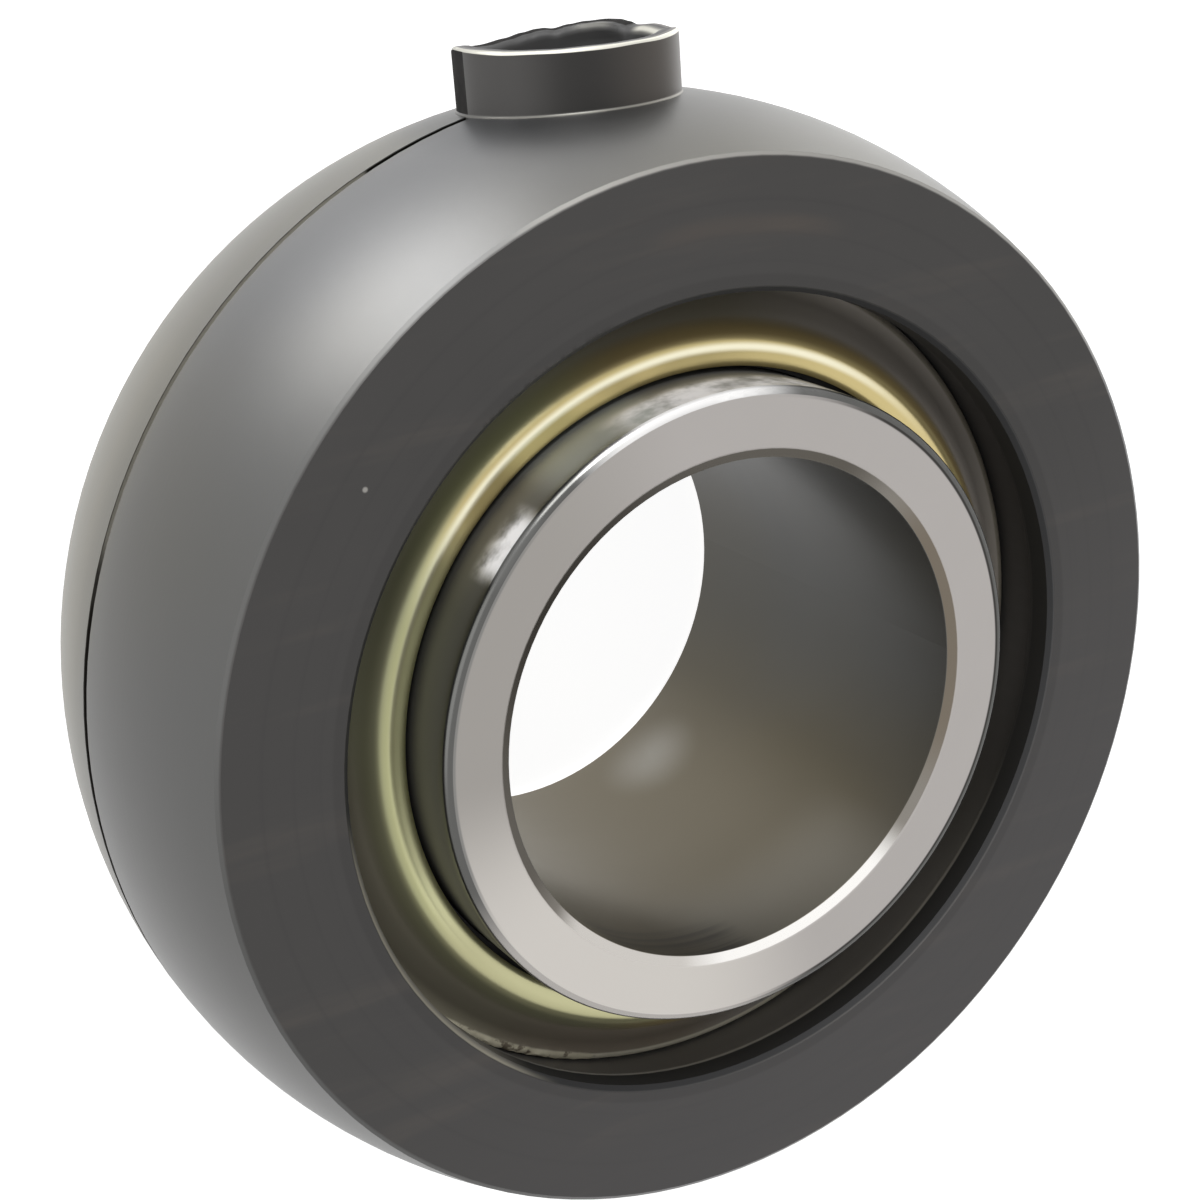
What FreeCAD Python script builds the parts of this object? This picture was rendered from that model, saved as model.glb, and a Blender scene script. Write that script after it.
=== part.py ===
"""Disc harrow bearing: a sealed ball bearing with a thick, ball-shaped outer ring and a locating sleeve.

The shaft axis is Z and the sleeve stands along +Y. The origin is the centre of the ball-shaped outside and
of the bore. Lengths are in millimetres.
"""
import FreeCAD, Part
import math
import os

import Sketcher

os.makedirs("parts", exist_ok=True)

doc = FreeCAD.newDocument("DiscHarrowBearing")
sheet = doc.addObject("Spreadsheet::Sheet", "Sizes")

SIZES = {
    # Inner ring: plain round bore, a little longer than the outer ring at each end
    "bore_diameter": 44.45,
    "inner_wall": 5.975,
    "inner_end_rise": 2.0,
    "inner_corner_radius": 0.6,
    "bore_chamfer_radial": 0.95,
    "bore_chamfer_axial": 0.55,
    # Balls, their tracks, and the lands of both rings inside and outside the pitch circle
    "ball_diameter": 12.7,
    "track_conformity": 0.524,
    "track_play": 0.12,
    "inner_land_gap": 3.8,
    "outer_land_gap": 3.5,
    # Riveted sheet cage
    "cage_sheet": 0.9,
    "cage_width": 5.2,
    "cage_end_room": 1.2,
    "pocket_clearance": 0.25,
    "rivet_diameter": 1.8,
    "rivet_head_diameter": 3.4,
    "rivet_head_height": 0.8,
    # Outer ring: ball-shaped outside, flat faces, a land at each mouth with a seal seat behind it
    "outer_wall": 14.5,
    "outer_width": 36.8,
    "outer_edge_break": 0.3,
    "opening_chamfer": 0.5,
    "mouth_land_width": 2.8,
    "seal_seat_depth": 1.4,
    # Grease groove round the outside in the plane of the locating sleeve, and the hole behind the sleeve
    "feed_plane_offset": 1.75,
    "grease_groove_width": 0.9,
    "grease_groove_depth": 0.45,
    "grease_hole_diameter": 2.2,
    # Seal: pressed steel core with bonded rubber lips, under a pressed shroud
    "core_sheet": 0.8,
    "core_bend_radius": 1.3,
    "core_collar_rise": 2.4,
    "core_seat_clearance": 0.05,
    "rubber_depth": 2.2,
    "lip_clearance": 0.1,
    "lip_land": 0.35,
    "lip_reach": 1.5,
    "shroud_sheet": 0.8,
    "shroud_mouth_gap": 0.8,
    "shroud_flange": 2.0,
    "shroud_height": 4.3,
    "shroud_foot_width": 1.5,
    "shroud_bead_radius": 1.5,
    "shroud_foot_radius": 1.4,
    "shroud_rim_clearance": 0.3,
    # Hollow locating sleeve pressed into the outer ring
    "sleeve_diameter": 19.05,
    "sleeve_wall": 1.925,
    "sleeve_length": 9.5,
    "sleeve_seat_depth": 5.0,
    "sleeve_outer_chamfer": 0.4,
    "sleeve_inner_chamfer": 0.7,
    "sleeve_foot_chamfer": 0.3,
    "rolled_lip_rise": 0.4,
    "rolled_lip_width": 1.2,
    "rolled_lip_crown_radius": 0.65,
    "rolled_lip_root": 1.0,
    "rolled_lip_sweep": 63.0,
    "rolled_lip_middle": 49.5,
}
BALL_COUNT = 9

for row, (alias, size) in enumerate(SIZES.items(), start=1):
    sheet.set(f"A{row}", alias)
    sheet.set(f"B{row}", str(size))
    sheet.setAlias(f"B{row}", alias)
doc.recompute()


def value(expression):
    """Number that an expression over the sheet gives."""
    return float(sheet.evalExpression(expression))


# Radii and heights that several pieces share, as expressions over the sheet, from the bore outwards
BORE_RADIUS = "(Sizes.bore_diameter / 2)"
INNER_RADIUS = f"({BORE_RADIUS} + Sizes.inner_wall)"
PITCH_RADIUS = f"({INNER_RADIUS} + Sizes.inner_land_gap)"
OPENING_RADIUS = f"({PITCH_RADIUS} + Sizes.outer_land_gap)"
SEAT_RADIUS = f"({OPENING_RADIUS} + Sizes.seal_seat_depth)"
OUTER_RADIUS = f"({OPENING_RADIUS} + Sizes.outer_wall)"
BALL_RADIUS = "(Sizes.ball_diameter / 2)"
TRACK_RADIUS = "(Sizes.ball_diameter * Sizes.track_conformity)"
POCKET_RADIUS = f"({BALL_RADIUS} + Sizes.pocket_clearance)"
OUTER_HALF = "(Sizes.outer_width / 2)"
INNER_HALF = f"({OUTER_HALF} + Sizes.inner_end_rise)"
OUTER_TRACK_MIDDLE = f"({PITCH_RADIUS} + {BALL_RADIUS} + Sizes.track_play - {TRACK_RADIUS})"
OUTER_TRACK_EDGE = f"sqrt({TRACK_RADIUS} ^ 2 - ({OPENING_RADIUS} - {OUTER_TRACK_MIDDLE}) ^ 2)"
SEAT_FACE = f"({POCKET_RADIUS} + Sizes.cage_sheet + Sizes.cage_end_room)"
CORE_TOP = f"({SEAT_FACE} + Sizes.core_sheet)"
RIM_TOP = f"({CORE_TOP} + Sizes.shroud_sheet)"
RUBBER_ROOT = f"({INNER_RADIUS} + Sizes.rubber_depth)"
SLEEVE_RADIUS = "(Sizes.sleeve_diameter / 2)"
SLEEVE_FLOOR = f"({OUTER_RADIUS} - Sizes.sleeve_seat_depth)"

HALF_TURN_OVER = FreeCAD.Rotation(FreeCAD.Vector(1, 0, 0), 180)
NO_MOVE = FreeCAD.Vector(0, 0, 0)


def hold_point(sketch, geometry, position, corner):
    """Ties one point of a sketch to a pair of expressions, measured from the sketch's origin."""
    for kind, expression in zip(("DistanceX", "DistanceY"), corner):
        number = value(expression)
        index = sketch.addConstraint(Sketcher.Constraint(kind, -1, 1, geometry, position, number))
        sketch.setExpression(f"Constraints[{index}]", expression)


def draw_outline(sketch, corners, arcs=None):
    """Draws a closed outline through corners, each a pair of expressions.

    arcs maps the number of a side to (centre, radius, anticlockwise) where that side is an arc.
    """
    arcs = arcs or {}
    spots = [FreeCAD.Vector(value(x), value(y), 0) for x, y in corners]
    ends = []
    for side, begin in enumerate(spots):
        end = spots[(side + 1) % len(spots)]
        if side not in arcs:
            sketch.addGeometry(Part.LineSegment(begin, end), False)
            ends.append((1, 2))
            continue
        centre, radius, anticlockwise = arcs[side]
        middle = FreeCAD.Vector(value(centre[0]), value(centre[1]), 0)
        first, last = (begin, end) if anticlockwise else (end, begin)
        start_angle = math.atan2(first.y - middle.y, first.x - middle.x)
        end_angle = math.atan2(last.y - middle.y, last.x - middle.x)
        circle = Part.Circle(middle, FreeCAD.Vector(0, 0, 1), value(radius))
        sketch.addGeometry(Part.ArcOfCircle(circle, start_angle, end_angle), False)
        ends.append((1, 2) if anticlockwise else (2, 1))
    for side in range(len(spots)):
        following = (side + 1) % len(spots)
        joint = Sketcher.Constraint("Coincident", side, ends[side][1], following, ends[following][0])
        sketch.addConstraint(joint)
    for side, corner in enumerate(corners):
        hold_point(sketch, side, ends[side][0], corner)
    for side, (_, radius, _) in arcs.items():
        index = sketch.addConstraint(Sketcher.Constraint("Radius", side, value(radius)))
        sketch.setExpression(f"Constraints[{index}]", radius)


def draw_sheet_section(sketch, corners, radii, thickness):
    """Draws the closed section of a pressed sheet: straight runs joined by tangent bends.

    The corners are on the sheet's drawn side, with one bend radius for each inner corner. The thickness lies
    to the left of the way along them.
    """
    spots = [FreeCAD.Vector(value(x), value(y), 0) for x, y in corners]
    bends = []
    for corner, radius in zip(range(1, len(spots) - 1), radii):
        back = (spots[corner - 1] - spots[corner]).normalize()
        ahead = (spots[corner + 1] - spots[corner]).normalize()
        half_angle = back.getAngle(ahead) / 2
        reach = value(radius) / math.tan(half_angle)
        middle = spots[corner] + (back + ahead).normalize() * (value(radius) / math.sin(half_angle))
        turns_left = ahead.cross(back).z > 0
        bends.append((middle, spots[corner] + back * reach, spots[corner] + ahead * reach, turns_left))

    def draw_side(first, last, shift):
        """One side of the sheet: its runs, and its bends moved off the drawn side by shift."""
        begins = [first]
        curves = []
        for middle, enter, leave, turns_left in bends:
            size = (enter - middle).Length
            scale = (size - shift if turns_left else size + shift) / size
            begins.append(middle + (leave - middle) * scale)
            curves.append((middle + (enter - middle) * scale, middle, size * scale, turns_left))
        stops = [curve[0] for curve in curves] + [last]
        runs = []
        for begin, end in zip(begins, stops):
            runs.append(sketch.addGeometry(Part.LineSegment(begin, end), False))
        arcs = []
        for number, (enter, middle, size, turns_left) in enumerate(curves):
            low, high = (enter, begins[number + 1]) if turns_left else (begins[number + 1], enter)
            angles = [math.atan2(spot.y - middle.y, spot.x - middle.x) for spot in (low, high)]
            circle = Part.Circle(middle, FreeCAD.Vector(0, 0, 1), size)
            arc = sketch.addGeometry(Part.ArcOfCircle(circle, *angles), False)
            near, far = (1, 2) if turns_left else (2, 1)
            sketch.addConstraint(Sketcher.Constraint("Tangent", runs[number], 2, arc, near))
            sketch.addConstraint(Sketcher.Constraint("Tangent", runs[number + 1], 1, arc, far))
            arcs.append(arc)
        return runs, arcs

    def hold_radius(arc, expression):
        index = sketch.addConstraint(Sketcher.Constraint("Radius", arc, value(expression)))
        sketch.setExpression(f"Constraints[{index}]", expression)

    gauge = value(thickness)
    way_in = (spots[1] - spots[0]).normalize()
    way_out = (spots[-1] - spots[-2]).normalize()
    first_back = spots[0] + FreeCAD.Vector(-way_in.y, way_in.x, 0) * gauge
    last_back = spots[-1] + FreeCAD.Vector(-way_out.y, way_out.x, 0) * gauge
    runs, arcs = draw_side(spots[0], spots[-1], 0.0)
    back_runs, back_arcs = draw_side(first_back, last_back, gauge)
    for number, radius in enumerate(radii):
        hold_radius(arcs[number], radius)
        sign = "-" if bends[number][3] else "+"
        hold_radius(back_arcs[number], f"({radius} {sign} {thickness})")
        sketch.addConstraint(Sketcher.Constraint("Coincident", arcs[number], 3, back_arcs[number], 3))
        corner = sketch.addGeometry(Part.Point(spots[number + 1]), True)
        hold_point(sketch, corner, 1, corners[number + 1])
        sketch.addConstraint(Sketcher.Constraint("PointOnObject", corner, 1, runs[number]))
        sketch.addConstraint(Sketcher.Constraint("PointOnObject", corner, 1, runs[number + 1]))
    hold_point(sketch, runs[0], 1, corners[0])
    hold_point(sketch, runs[-1], 2, corners[-1])
    for run, end, back_run in ((runs[0], 1, back_runs[0]), (runs[-1], 2, back_runs[-1])):
        edge_start = spots[0] if end == 1 else spots[-1]
        edge_end = first_back if end == 1 else last_back
        edge = sketch.addGeometry(Part.LineSegment(edge_start, edge_end), False)
        sketch.addConstraint(Sketcher.Constraint("Coincident", edge, 1, run, end))
        sketch.addConstraint(Sketcher.Constraint("Coincident", edge, 2, back_run, end))
        sketch.addConstraint(Sketcher.Constraint("Perpendicular", edge, run))
        sketch.addConstraint(Sketcher.Constraint("Parallel", run, back_run))


def new_body(label, placement=None):
    body = doc.addObject("PartDesign::Body", label)
    body.Label = label
    if placement:
        body.Placement = placement
    return body


def body_sketch(body, name, role, offset=None):
    """Sketch on one of the body's own origin planes."""
    sketch = body.newObject("Sketcher::SketchObject", name)
    plane = next(feature for feature in body.Origin.OriginFeatures if feature.Role == role)
    sketch.AttachmentSupport = [(plane, "")]
    sketch.MapMode = "FlatFace"
    if offset:
        sketch.AttachmentOffset = offset
    return sketch


def turn_body(body, sketch, name, angle=360.0, cut=False, both_ways=False):
    """Turns a sketch about the body's Z axis, as a solid or as a cut."""
    turned = body.newObject("PartDesign::Groove" if cut else "PartDesign::Revolution", name)
    turned.Profile = sketch
    turned.ReferenceAxis = (sketch, ["V_Axis"])
    turned.Angle = angle
    turned.Midplane = both_ways
    body.Tip = turned
    return turned


def drill_along_y(body, name, diameter, height, start, end=None):
    """Round cut along +Y at a height on Z, from a distance off the axis, to another distance or right out."""
    sketch = body_sketch(body, f"{name}_circle", "XZ_Plane", FreeCAD.Placement(NO_MOVE, FreeCAD.Rotation()))
    sketch.setExpression(".AttachmentOffset.Base.z", f"-({start})")
    centre = FreeCAD.Vector(0, value(height), 0)
    sketch.addGeometry(Part.Circle(centre, FreeCAD.Vector(0, 0, 1), value(diameter) / 2), False)
    sketch.addConstraint(Sketcher.Constraint("PointOnObject", 0, 3, -2))
    across = sketch.addConstraint(Sketcher.Constraint("DistanceY", -1, 1, 0, 3, value(height)))
    sketch.setExpression(f"Constraints[{across}]", height)
    size = sketch.addConstraint(Sketcher.Constraint("Diameter", 0, value(diameter)))
    sketch.setExpression(f"Constraints[{size}]", diameter)
    pocket = body.newObject("PartDesign::Pocket", name)
    pocket.Profile = sketch
    if end is None:
        pocket.Type = "ThroughAll"
    else:
        pocket.Type = "Length"
        pocket.setExpression("Length", f"({end}) - ({start})")
    body.Tip = pocket
    return pocket


# Outer ring
def make_outer_ring():
    """Turned from bar: ball-shaped outside, ball track, and a seal seat behind the land of each mouth."""
    body = new_body("outer_ring")
    shoulder = f"({OUTER_HALF} - Sizes.outer_edge_break)"
    rim = f"sqrt({OUTER_RADIUS} ^ 2 - {shoulder} ^ 2)"
    face_edge = f"(sqrt({OUTER_RADIUS} ^ 2 - {OUTER_HALF} ^ 2) - Sizes.outer_edge_break)"
    mouth = f"({OPENING_RADIUS} + Sizes.opening_chamfer)"
    mouth_depth = f"({OUTER_HALF} - Sizes.opening_chamfer)"
    land_end = f"({OUTER_HALF} - Sizes.mouth_land_width)"
    corners = [
        (OPENING_RADIUS, f"-{SEAT_FACE}"),
        (OPENING_RADIUS, f"-{OUTER_TRACK_EDGE}"),
        (OPENING_RADIUS, OUTER_TRACK_EDGE),
        (OPENING_RADIUS, SEAT_FACE),
        (SEAT_RADIUS, SEAT_FACE),
        (SEAT_RADIUS, land_end),
        (OPENING_RADIUS, land_end),
        (OPENING_RADIUS, mouth_depth),
        (mouth, OUTER_HALF),
        (face_edge, OUTER_HALF),
        (rim, shoulder),
        (rim, f"-{shoulder}"),
        (face_edge, f"-{OUTER_HALF}"),
        (mouth, f"-{OUTER_HALF}"),
        (OPENING_RADIUS, f"-{mouth_depth}"),
        (OPENING_RADIUS, f"-{land_end}"),
        (SEAT_RADIUS, f"-{land_end}"),
        (SEAT_RADIUS, f"-{SEAT_FACE}"),
    ]
    arcs = {
        1: ((OUTER_TRACK_MIDDLE, "0"), TRACK_RADIUS, True),
        10: (("0", "0"), OUTER_RADIUS, False),
    }
    section = body_sketch(body, "outer_ring_section", "XZ_Plane")
    draw_outline(section, corners, arcs)
    turn_body(body, section, "outer_ring_turning")

    groove = body_sketch(body, "grease_groove_section", "XZ_Plane")
    floor = f"({OUTER_RADIUS} - Sizes.grease_groove_depth)"
    outside = f"({OUTER_RADIUS} + Sizes.grease_groove_depth)"
    low = "(-Sizes.feed_plane_offset - Sizes.grease_groove_width / 2)"
    high = "(-Sizes.feed_plane_offset + Sizes.grease_groove_width / 2)"
    draw_outline(groove, [(floor, low), (outside, low), (outside, high), (floor, high)])
    turn_body(body, groove, "grease_groove", cut=True)

    drill_along_y(body, "sleeve_pocket", "Sizes.sleeve_diameter", "-Sizes.feed_plane_offset", SLEEVE_FLOOR)
    beside_track = f"-({OUTER_TRACK_EDGE} + {SEAT_FACE}) / 2"
    drill_along_y(body, "grease_hole", "Sizes.grease_hole_diameter", beside_track, PITCH_RADIUS, SLEEVE_FLOOR)
    return body


# Inner ring
def make_inner_ring():
    """Turned and ground: plain bore with wide chamfers, ball track at mid-length, rounded ends."""
    body = new_body("inner_ring")
    track_middle = f"({PITCH_RADIUS} - {BALL_RADIUS} - Sizes.track_play + {TRACK_RADIUS})"
    track_edge = f"sqrt({TRACK_RADIUS} ^ 2 - ({track_middle} - {INNER_RADIUS}) ^ 2)"
    chamfer_top = f"({BORE_RADIUS} + Sizes.bore_chamfer_radial)"
    chamfer_foot = f"({INNER_HALF} - Sizes.bore_chamfer_axial)"
    corner_in = f"({INNER_RADIUS} - Sizes.inner_corner_radius)"
    corner_down = f"({INNER_HALF} - Sizes.inner_corner_radius)"
    corners = [
        (BORE_RADIUS, f"-{chamfer_foot}"),
        (chamfer_top, f"-{INNER_HALF}"),
        (corner_in, f"-{INNER_HALF}"),
        (INNER_RADIUS, f"-{corner_down}"),
        (INNER_RADIUS, f"-{track_edge}"),
        (INNER_RADIUS, track_edge),
        (INNER_RADIUS, corner_down),
        (corner_in, INNER_HALF),
        (chamfer_top, INNER_HALF),
        (BORE_RADIUS, chamfer_foot),
    ]
    arcs = {
        2: ((corner_in, f"-{corner_down}"), "Sizes.inner_corner_radius", True),
        4: ((track_middle, "0"), TRACK_RADIUS, False),
        6: ((corner_in, corner_down), "Sizes.inner_corner_radius", True),
    }
    section = body_sketch(body, "inner_ring_section", "XZ_Plane")
    draw_outline(section, corners, arcs)
    turn_body(body, section, "inner_ring_turning")
    return body


def ball_angle(number):
    return 360.0 / BALL_COUNT * number


def place_on_pitch(thing, angle):
    """Puts an object on the pitch circle, at an angle in degrees from +X."""
    thing.setExpression(".Placement.Base.x", f"{PITCH_RADIUS} * cos({angle} deg)")
    thing.setExpression(".Placement.Base.y", f"{PITCH_RADIUS} * sin({angle} deg)")
    return thing


def add_sphere(name, radius, number):
    ball = doc.addObject("Part::Sphere", name)
    ball.setExpression("Radius", radius)
    return place_on_pitch(ball, ball_angle(number))


# Balls
def make_balls():
    balls = []
    for number in range(BALL_COUNT):
        ball = add_sphere(f"ball_{number + 1}", BALL_RADIUS, number)
        ball.Label = f"ball_{number + 1}"
        balls.append(ball)
    return balls


def add_cylinder(name, radius, length):
    cylinder = doc.addObject("Part::Cylinder", name)
    cylinder.setExpression("Radius", radius)
    cylinder.setExpression("Height", length)
    return cylinder


def join(name, pieces):
    fused = doc.addObject("Part::MultiFuse", name)
    fused.Shapes = pieces
    return fused


def cut(name, base, tool):
    rest = doc.addObject("Part::Cut", name)
    rest.Base = base
    rest.Tool = tool
    return rest


# Cage
def make_cage_half(label, turned_over):
    """Pressed ribbon: flat webs on the middle plane, with a domed half pocket over each ball."""
    half_width = "Sizes.cage_width / 2"
    dome_radius = f"{POCKET_RADIUS} + Sizes.cage_sheet"
    web = cut(
        f"{label}_web",
        add_cylinder(f"{label}_web_blank", f"{PITCH_RADIUS} + {half_width}", "Sizes.cage_sheet"),
        add_cylinder(f"{label}_web_bore", f"{PITCH_RADIUS} - {half_width}", "Sizes.cage_sheet"),
    )
    ribbon = cut(
        f"{label}_ribbon",
        add_cylinder(f"{label}_ribbon_blank", f"{PITCH_RADIUS} + {half_width}", dome_radius),
        add_cylinder(f"{label}_ribbon_bore", f"{PITCH_RADIUS} - {half_width}", dome_radius),
    )
    dome_balls = [add_sphere(f"{label}_dome_{n + 1}", dome_radius, n) for n in range(BALL_COUNT)]
    domes = doc.addObject("Part::Common", f"{label}_domes")
    domes.Base = ribbon
    domes.Tool = join(f"{label}_dome_balls", dome_balls)
    pressed = join(f"{label}_pressed", [web, domes])

    openings = [add_sphere(f"{label}_pocket_{n + 1}", POCKET_RADIUS, n) for n in range(BALL_COUNT)]
    for number in range(BALL_COUNT):
        hole_name = f"{label}_rivet_hole_{number + 1}"
        hole = add_cylinder(hole_name, "Sizes.rivet_diameter / 2", "Sizes.cage_sheet")
        openings.append(place_on_pitch(hole, ball_angle(number + 0.5)))
    half = cut(label, pressed, join(f"{label}_openings", openings))
    half.Label = label
    if turned_over:
        half.Placement = FreeCAD.Placement(NO_MOVE, HALF_TURN_OVER)
    return half


def make_rivets():
    """Rivets through the webs between the pockets: straight shank and two low domed heads."""
    rivet = new_body("cage_rivet")
    shank = "Sizes.rivet_diameter / 2"
    head = "Sizes.rivet_head_diameter / 2"
    top = "(Sizes.cage_sheet + Sizes.rivet_head_height)"
    head_radius = f"(({head}) ^ 2 + Sizes.rivet_head_height ^ 2) / (2 * Sizes.rivet_head_height)"
    head_middle = f"({top} - {head_radius})"
    corners = [
        ("0", f"-{top}"),
        (head, "-Sizes.cage_sheet"),
        (shank, "-Sizes.cage_sheet"),
        (shank, "Sizes.cage_sheet"),
        (head, "Sizes.cage_sheet"),
        ("0", top),
    ]
    arcs = {
        0: (("0", f"-{head_middle}"), head_radius, True),
        4: (("0", head_middle), head_radius, True),
    }
    section = body_sketch(rivet, "cage_rivet_section", "XZ_Plane")
    draw_outline(section, corners, arcs)
    turn_body(rivet, section, "cage_rivet_turning")
    copies = []
    for number in range(BALL_COUNT):
        copy = doc.addObject("App::Link", f"cage_rivet_{number + 1}")
        copy.LinkedObject = rivet
        copies.append(place_on_pitch(copy, ball_angle(number + 0.5)))
    rivets = doc.addObject("Part::Compound", "cage_rivets")
    rivets.Label = "cage_rivets"
    rivets.Links = copies
    return rivets


# Seals
def press_sheet(label, corners, radii, thickness, turned_over):
    """Ring pressed from sheet: its bent section turned about Z."""
    over = HALF_TURN_OVER if turned_over else FreeCAD.Rotation()
    body = new_body(label, FreeCAD.Placement(NO_MOVE, over))
    section = body_sketch(body, f"{label}_section", "XZ_Plane")
    draw_sheet_section(section, corners, radii, thickness)
    turn_body(body, section, f"{label}_pressing")
    return body


def make_shroud(label, turned_over):
    """Yellow-plated pressed shroud: flat mouth, rounded knee, sloping wall, flat rim in the seal seat."""
    flange_top = f"({RIM_TOP} + Sizes.shroud_height)"
    rim_edge = f"({SEAT_RADIUS} - Sizes.shroud_rim_clearance)"
    mouth = f"({INNER_RADIUS} + Sizes.shroud_mouth_gap)"
    corners = [
        (rim_edge, RIM_TOP),
        (f"({rim_edge} - Sizes.shroud_foot_width)", RIM_TOP),
        (f"({mouth} + Sizes.shroud_flange)", flange_top),
        (mouth, flange_top),
    ]
    radii = ["Sizes.shroud_foot_radius", "Sizes.shroud_bead_radius"]
    return press_sheet(label, corners, radii, "Sizes.shroud_sheet", turned_over)


def make_seal_core(label, turned_over):
    """Steel core washer: flat against the seat's shoulder, with a collar that carries the rubber."""
    core_edge = f"({SEAT_RADIUS} - Sizes.core_seat_clearance)"
    collar = f"({RUBBER_ROOT} + Sizes.core_sheet)"
    corners = [
        (core_edge, CORE_TOP),
        (collar, CORE_TOP),
        (collar, f"({CORE_TOP} + Sizes.core_collar_rise)"),
    ]
    return press_sheet(label, corners, ["Sizes.core_bend_radius"], "Sizes.core_sheet", turned_over)


def make_seal_rubber(label, turned_over):
    """Rubber ring bonded inside the core's collar, with three lips that run just clear of the inner ring."""
    over = HALF_TURN_OVER if turned_over else FreeCAD.Rotation()
    body = new_body(label, FreeCAD.Placement(NO_MOVE, over))
    tip = f"({INNER_RADIUS} + Sizes.lip_clearance)"
    valley = f"({tip} + Sizes.lip_reach)"
    foot = SEAT_FACE
    height = "(Sizes.core_sheet + Sizes.core_collar_rise)"
    pitch = f"({height} / 3)"
    corners = [(RUBBER_ROOT, foot)]
    for lip in range(3):
        low = f"({foot} + {pitch} * {lip})"
        corners.append((valley, low))
        corners.append((tip, f"({low} + {pitch} - Sizes.lip_land)"))
        corners.append((tip, f"({low} + {pitch})"))
    corners.append((RUBBER_ROOT, f"({foot} + {height})"))
    section = body_sketch(body, f"{label}_section", "XZ_Plane")
    draw_outline(section, corners)
    turn_body(body, section, f"{label}_turning")
    return body


# Locating sleeve
def make_sleeve():
    """Hollow dowel in the outer ring's pocket, chamfered outside and in, its rim rolled up on one side."""
    upright = FreeCAD.Rotation(FreeCAD.Vector(1, 0, 0), -90)
    body = new_body("locating_sleeve", FreeCAD.Placement(NO_MOVE, upright))
    body.setExpression(".Placement.Base.y", SLEEVE_FLOOR)
    body.setExpression(".Placement.Base.z", "-Sizes.feed_plane_offset")
    inside = f"({SLEEVE_RADIUS} - Sizes.sleeve_wall)"
    top = "Sizes.sleeve_length"
    corners = [
        (inside, "0"),
        (f"({SLEEVE_RADIUS} - Sizes.sleeve_foot_chamfer)", "0"),
        (SLEEVE_RADIUS, "Sizes.sleeve_foot_chamfer"),
        (SLEEVE_RADIUS, f"({top} - Sizes.sleeve_outer_chamfer)"),
        (f"({SLEEVE_RADIUS} - Sizes.sleeve_outer_chamfer)", top),
        (f"({inside} + Sizes.sleeve_inner_chamfer)", top),
        (inside, f"({top} - Sizes.sleeve_inner_chamfer)"),
    ]
    section = body_sketch(body, "locating_sleeve_section", "XZ_Plane")
    draw_outline(section, corners)
    turn_body(body, section, "locating_sleeve_turning")

    turn = FreeCAD.Rotation(FreeCAD.Vector(0, 1, 0), value("Sizes.rolled_lip_middle"))
    lip = body_sketch(body, "rolled_lip_section", "XZ_Plane", FreeCAD.Placement(NO_MOVE, turn))
    lip.setExpression(".AttachmentOffset.Rotation.Angle", "Sizes.rolled_lip_middle")
    half = "Sizes.rolled_lip_width / 2"
    crown_radius = "Sizes.rolled_lip_crown_radius"
    outside = f"({inside} + Sizes.rolled_lip_width)"
    crown_middle = f"({top} + Sizes.rolled_lip_rise - {crown_radius})"
    crown_edge = f"({crown_middle} + sqrt({crown_radius} ^ 2 - ({half}) ^ 2))"
    root = f"({top} - Sizes.rolled_lip_root)"
    outline = [(inside, root), (outside, root), (outside, crown_edge), (inside, crown_edge)]
    draw_outline(lip, outline, {2: ((f"({inside} + {half})", crown_middle), crown_radius, True)})
    rolled = turn_body(body, lip, "rolled_lip", both_ways=True)
    rolled.setExpression("Angle", "Sizes.rolled_lip_sweep")
    return body


pieces = [make_outer_ring(), make_inner_ring()]
pieces.extend(make_balls())
pieces.append(make_cage_half("cage_front", False))
pieces.append(make_cage_half("cage_rear", True))
pieces.append(make_rivets())
for side, turned_over in (("front", False), ("rear", True)):
    pieces.append(make_shroud(f"{side}_seal_shroud", turned_over))
    pieces.append(make_seal_core(f"{side}_seal_core", turned_over))
    pieces.append(make_seal_rubber(f"{side}_seal_rubber", turned_over))
pieces.append(make_sleeve())
doc.recompute()

for thing in doc.Objects:
    if "Invalid" in thing.State or "Error" in thing.State:
        raise RuntimeError(f"{thing.Name} did not build: {thing.State}")
for piece in pieces:
    if piece.Shape.isNull() or not piece.Shape.isValid() or not piece.Shape.Solids:
        raise RuntimeError(f"{piece.Label} is not a sound solid")
    piece.Shape.exportStep(f"parts/{piece.Label}.step")
    box = piece.Shape.BoundBox
    print(f"{piece.Label}: {len(piece.Shape.Solids)} solid, {piece.Shape.Volume:.1f} mm3,",
          f"z {box.ZMin:.2f} to {box.ZMax:.2f}, y {box.YMin:.2f} to {box.YMax:.2f}")
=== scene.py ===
"""Disc harrow bearing, dressed for its picture: finishes, seal shrouds, sleeve, studio and camera."""
import math

import bmesh
import bpy
from mathutils import Matrix, Vector


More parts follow.
